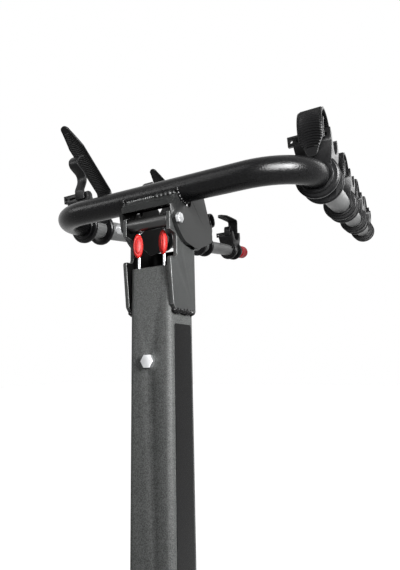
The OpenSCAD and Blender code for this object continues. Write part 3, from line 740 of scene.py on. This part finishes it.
# %% Grips
def grip(name, centre, width, depth, height, twist):
    """An oval of the given size: rows run up as the sine of their angle, and each row's
    width and depth shrink as the cosine's power. On the broad faces a groove follows the
    oval 0.7 times as large, and the field inside it is raised a little. Last, the oval is
    twisted about its upright line."""
    rise = np.linspace(-np.pi / 2, np.pi / 2, 90)[:, None]
    turn = np.linspace(0, 2 * np.pi, 96, endpoint=False)[None]
    body = np.cos(rise) ** 0.9
    z = height / 2 * np.sin(rise) * np.ones_like(turn)
    x = width / 2 * body * np.sign(np.cos(turn)) * np.abs(np.cos(turn)) ** 0.95
    y = depth / 2 * body * np.sign(np.sin(turn)) * np.abs(np.sin(turn)) ** 0.75
    reach = np.sqrt((2 * x / width) ** 2 + (2 * z / height) ** 2)
    broad = np.clip(np.abs(np.sin(turn)) * 3 - 0.6, 0, 1) * np.ones_like(z)
    groove = -0.5 * mm * np.exp(-(((reach - 0.7) / 0.055) ** 2))
    field = 0.28 * mm * np.clip((0.68 - reach) / 0.08, 0, 1)
    y = y + np.sign(np.sin(turn)) * broad * (groove + field)
    c, k = math.cos(twist), math.sin(twist)
    return surface(name, np.stack([c * x - k * y, k * x + c * y, z], -1) + centre)


grip_twist, grip_fore = 0.55, 2.2
for side, word in ((-1, "left"), (1, "right")):
    centre = from_front([side * leg_x, leg_y - grip_fore, grip_top - grip_h / 2])
    size = (10.8 * mm, 7.8 * mm, grip_h * mm)
    piece = grip("grip_" + word, centre, *size, -side * grip_twist)
    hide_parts("latch_grip_" + word)
    dress(piece, "latch_" + word, grip_red)
print("grips at", centre.round(3))

# %% [markdown]
# The sheet parts are welded by hand. A bead is a row of overlapping drops: its radius
# swells once for every drop, and it is drawn a little unevenly. A bump on a plain roll
# would not show at the bead's outline, so the drops are in the mesh.

# %% A bead of weld
drop_swing = 0.24


def bead(name, path, kept, size, body, material):
    """A sweep whose radius is the given one times 1 + swing cos(2 pi s / pitch + a small
    slip) + two slow wavers, and shrinks as a square root at both ends. The size is the
    radius and the pitch of the drops."""
    radius, pitch = size
    s = np.concatenate([[0], np.cumsum(np.linalg.norm(np.diff(path, axis=0), axis=1))])
    drop = 1 + drop_swing * np.cos(2 * np.pi * s / pitch + 0.6 * np.sin(s / pitch))
    waver = 0.1 * np.sin(2.1 * s / pitch) + 0.06 * np.sin(5.3 * s / pitch)
    ends = np.sqrt(np.clip(np.minimum(s, s[-1] - s) / radius, 0.02, 1))
    section = (radius * (drop + waver) * ends)[:, None, None] * ring(1, 18)[None]
    return dress(sweep(name, path, section, kept), body, material)


def line(a, b, step=0.35 * mm):
    """Even points from a to b."""
    a, b = np.asarray(a, float), np.asarray(b, float)
    return a + np.linspace(0, 1, int(np.linalg.norm(b - a) / step))[:, None] * (b - a)


print("a bead's radius swings by", drop_swing, "of itself")

# %% [markdown]
# The bracket's web meets the tube in two thin seams and one thick dark one. The thin ones
# get the lighter coat of painted highlight, for the bright lines that the lamps draw along
# them. The tube has a bead under it beside each cheek, and the collar has thick beads round
# its lower edge. Each seam is a straight line or half a circle, read from the solids' places.

# %% Seams of the bracket and the collar
fine_bead = (1.1 * mm, 2.6 * mm)
lump_bead = (2.8 * mm, 5.2 * mm)
saddle_bead = (1.5 * mm, 3.6 * mm)
collar_bead = (3.0 * mm, 6.4 * mm)
toe = np.radians(198)
toe_u = bar_u + (bar_r + 0.4 * mm) * np.cos(toe)
toe_v = bar_v + (bar_r + 0.4 * mm) * np.sin(toe)
# The two thin seams carry painted highlight.
for fall, word in ((0, "upper"), (3.2 * mm, "lower")):
    seam = line([-32 * mm, toe_u, toe_v - fall], [6 * mm, toe_u, toe_v - fall])
    bead("web_weld_" + word, in_arms(seam), upward, fine_bead, "arms", painted_highlight_coat)
seam = line([5 * mm, toe_u, toe_v - 0.8 * mm], [33 * mm, toe_u, toe_v - 0.8 * mm])
bead("web_weld", in_arms(seam), upward, lump_bead, "arms", sheet_coat)

under = np.radians(np.linspace(180, 360, 160))
collar_low, collar_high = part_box("mast_collar")
weld_z = collar_low[2] - edge_z - 0.8 * mm
for sign, word in ((-1, "left"), (1, "right")):
    saddle = np.stack([
        np.full_like(under, sign * (collar_high[0] + 5.5 * mm)),
        bar_u + (bar_r + 0.6 * mm) * np.cos(under),
        bar_v + (bar_r + 0.6 * mm) * np.sin(under),
    ], -1)
    bead("saddle_weld_" + word, in_arms(saddle), across, saddle_bead, "arms", bar_coat)
    side_x = sign * (mast_half + 1.9 * mm)
    seam = line([side_x, -23 * mm, weld_z], [side_x, 22 * mm, weld_z])
    path = np.array([0, mast_y, edge_z]) + seam
    bead("collar_weld_" + word, path, [0, 0, 1.0], collar_bead, "mast", bar_coat)
back = np.array([0, mast_y + mast_half + 1.6 * mm, edge_z + weld_z])
path = back + line([-19 * mm, 0, 0], [19 * mm, 0, 0])
bead("collar_weld_back", path, [0, 0, 1.0], collar_bead, "mast", bar_coat)

# %% [markdown]
# A plain dark panel lies on the mast's right side. It is a thin plate rather than a
# painted patch, so that its rim catches a little light.

# %% Side panel
def plate(name, centre, half_w, half_h, corner, thick):
    """A rounded rectangle in Y and Z, raised by its thickness along X with a soft rim: four
    rows, each with its share of the lift and its inset in millimetres."""
    turn = np.linspace(0, 2 * np.pi, 96, endpoint=False)
    wide = np.sign(np.cos(turn)) * (half_w - corner) + corner * np.cos(turn)
    tall = np.sign(np.sin(turn)) * (half_h - corner) + corner * np.sin(turn)
    rows = []
    for lift, inset in ((0, 0), (0.7, 0), (1, 0.25), (1, 1.2)):
        rows.append(np.stack([
            np.full_like(turn, lift * thick),
            wide * (1 - inset * mm / half_w),
            tall * (1 - inset * mm / half_h),
        ], -1))
    return surface(name, np.asarray(centre) + np.array(rows))


panel_at = [mast_half, mast_y, edge_z - 220 * mm]
panel = plate("side_panel", panel_at, 17.5 * mm, 160 * mm, 3 * mm, 0.3 * mm)
dress(panel, "mast", black_coat)
print("panel on the mast's right side")

# %% [markdown]
# The picture is taken from low beside the mast, looking a little upward, with a fairly
# wide lens. The camera's place was worked out from the outlines of the mast and the tube.
# Its own axes go into its matrix, because a Track To constraint couldn't hold the small
# bank of the picture.

# %% Camera
azimuth, elevation, bank = math.radians(26.88), math.radians(10.17), math.radians(-1.34)
focal_px, frame_long_px = 407.23, 570
eye = np.array([237.66 * mm, mast_y - 376.15 * mm, edge_z - 95.77 * mm])
forward = np.array([
    -math.sin(azimuth) * math.cos(elevation),
    math.cos(azimuth) * math.cos(elevation),
    math.sin(elevation),
])
level = np.array([math.cos(azimuth), math.sin(azimuth), 0])
above = np.cross(level, forward)
right = math.cos(bank) * level + math.sin(bank) * above
up = math.cos(bank) * above - math.sin(bank) * level
lens = bpy.data.cameras.new("camera")
lens.sensor_width = 36
lens.lens = focal_px / frame_long_px * lens.sensor_width
lens.clip_start = 0.01
camera = bpy.data.objects.new("camera", lens)
bpy.context.scene.collection.objects.link(camera)
camera_rows = [[right[k], up[k], -forward[k], eye[k]] for k in range(3)]
camera.matrix_world = Matrix(camera_rows + [[0, 0, 0, 1]])
bpy.context.scene.camera = camera
print("camera at", eye.round(3), "lens", round(lens.lens, 2), "mm")

# %% [markdown]
# The light is a studio's: a small key lamp from the right, weaker ones from the front,
# the left and behind, and a dim white room. Black coats show almost nothing but what they
# mirror, and a lamp strong enough to light up the bend would wash out the grey mast. So
# two wide soft boxes are left out of plain, matt light and show only as reflections: one
# gives the bend its long bright patch, the other puts a faint band on the cross tube.

# %% Lamps
aim = np.array([0, mast_y, pivot[2]])


def lamp(name, place, size, power, mirror_only=False):
    """A soft box of this size that looks from its place at the top of the rack. Its axes
    are the line back from the aim, the level line square to it, and their cross product."""
    light = bpy.data.lights.new(name, "AREA")
    light.shape = "RECTANGLE"
    light.size, light.size_y = size
    light.energy = power
    box = bpy.data.objects.new(name, light)
    bpy.context.scene.collection.objects.link(box)
    back = unit(np.asarray(place, float) - aim)
    side = unit(np.cross([0, 0, 1.0], back))
    top = np.cross(back, side)
    rows = [[side[k], top[k], back[k], place[k]] for k in range(3)]
    box.matrix_world = Matrix(rows + [[0, 0, 0, 1]])
    box.visible_diffuse = not mirror_only


lamp("key", [0.93, mast_y - 0.42, edge_z + 0.2], (0.25, 0.25), 19)
lamp("shine", [0.82, mast_y - 0.61, edge_z + 0.17], (0.8, 0.6), 125, mirror_only=True)
lamp("front", [-0.1, mast_y - 0.4, edge_z + 0.42], (0.3, 0.2), 0.8)
lamp("band", [-0.6, mast_y - 0.72, edge_z + 0.38], (0.7, 0.25), 5, mirror_only=True)
lamp("left", [-1.4, mast_y - 0.3, edge_z + 0.5], (0.8, 0.8), 0.4)
lamp("back", [0.9, mast_y + 1.4, edge_z + 0.9], (0.9, 0.9), 8)

# %% [markdown]
# The background has to be white, but a white room as strong as that would drown the
# lamps. Light Path tells what a ray is for: rays that show the background, straight or in
# a mirror, see a glowing white floor and a white room. All others see a plain pale floor
# in a room that is nearly dark, so the floor keeps the rack's shadow.

# %% Floor and room
floor_z, floor_half = -0.42, 14
floor_glow, room_dim, room_white = 0.92, 0.06, 1.0


def shown_rays(add, link):
    """1 for rays that show a background: the camera's, and those of mirrors and glass."""
    rays = add("ShaderNodeLightPath")
    seen = add("ShaderNodeMath")
    seen.operation = "MAXIMUM"
    shown = add("ShaderNodeMath")
    shown.operation = "MAXIMUM"
    link(rays.outputs["Is Camera Ray"], seen.inputs[0])
    link(rays.outputs["Is Glossy Ray"], seen.inputs[1])
    link(seen.outputs["Value"], shown.inputs[0])
    link(rays.outputs["Is Transmission Ray"], shown.inputs[1])
    return shown.outputs["Value"]


bm = bmesh.new()
bmesh.ops.create_grid(bm, x_segments=1, y_segments=1, size=floor_half)
floor_mesh = bpy.data.meshes.new("floor")
bm.to_mesh(floor_mesh)
bm.free()
floor = bpy.data.objects.new("floor", floor_mesh)
bpy.context.scene.collection.objects.link(floor)
floor.location.z = floor_z
pale, shader, add, link = new_material("pale_floor")
shader.inputs["Base Color"].default_value = (0.8, 0.8, 0.8, 1)
shader.inputs["Roughness"].default_value = 0.7
shader.inputs["Emission Color"].default_value = (1, 1, 1, 1)
glow = add("ShaderNodeMath")
glow.operation = "MULTIPLY"
glow.inputs[1].default_value = floor_glow
link(shown_rays(add, link), glow.inputs[0])
link(glow.outputs["Value"], shader.inputs["Emission Strength"])
floor_mesh.materials.append(pale)

world = bpy.data.worlds.new("studio")
bpy.context.scene.world = world
world.use_nodes = True
tree = world.node_tree
strength = tree.nodes.new("ShaderNodeMapRange")
strength.inputs["To Min"].default_value = room_dim
strength.inputs["To Max"].default_value = room_white
tree.links.new(shown_rays(tree.nodes.new, tree.links.new), strength.inputs["Value"])
background = tree.nodes["Background"]
background.inputs["Color"].default_value = (1, 1, 1, 1)
tree.links.new(strength.outputs["Result"], background.inputs["Strength"])
bpy.context.scene.view_settings.view_transform = "Standard"
print("floor at", floor_z, "m, room", room_dim, "to", room_white)
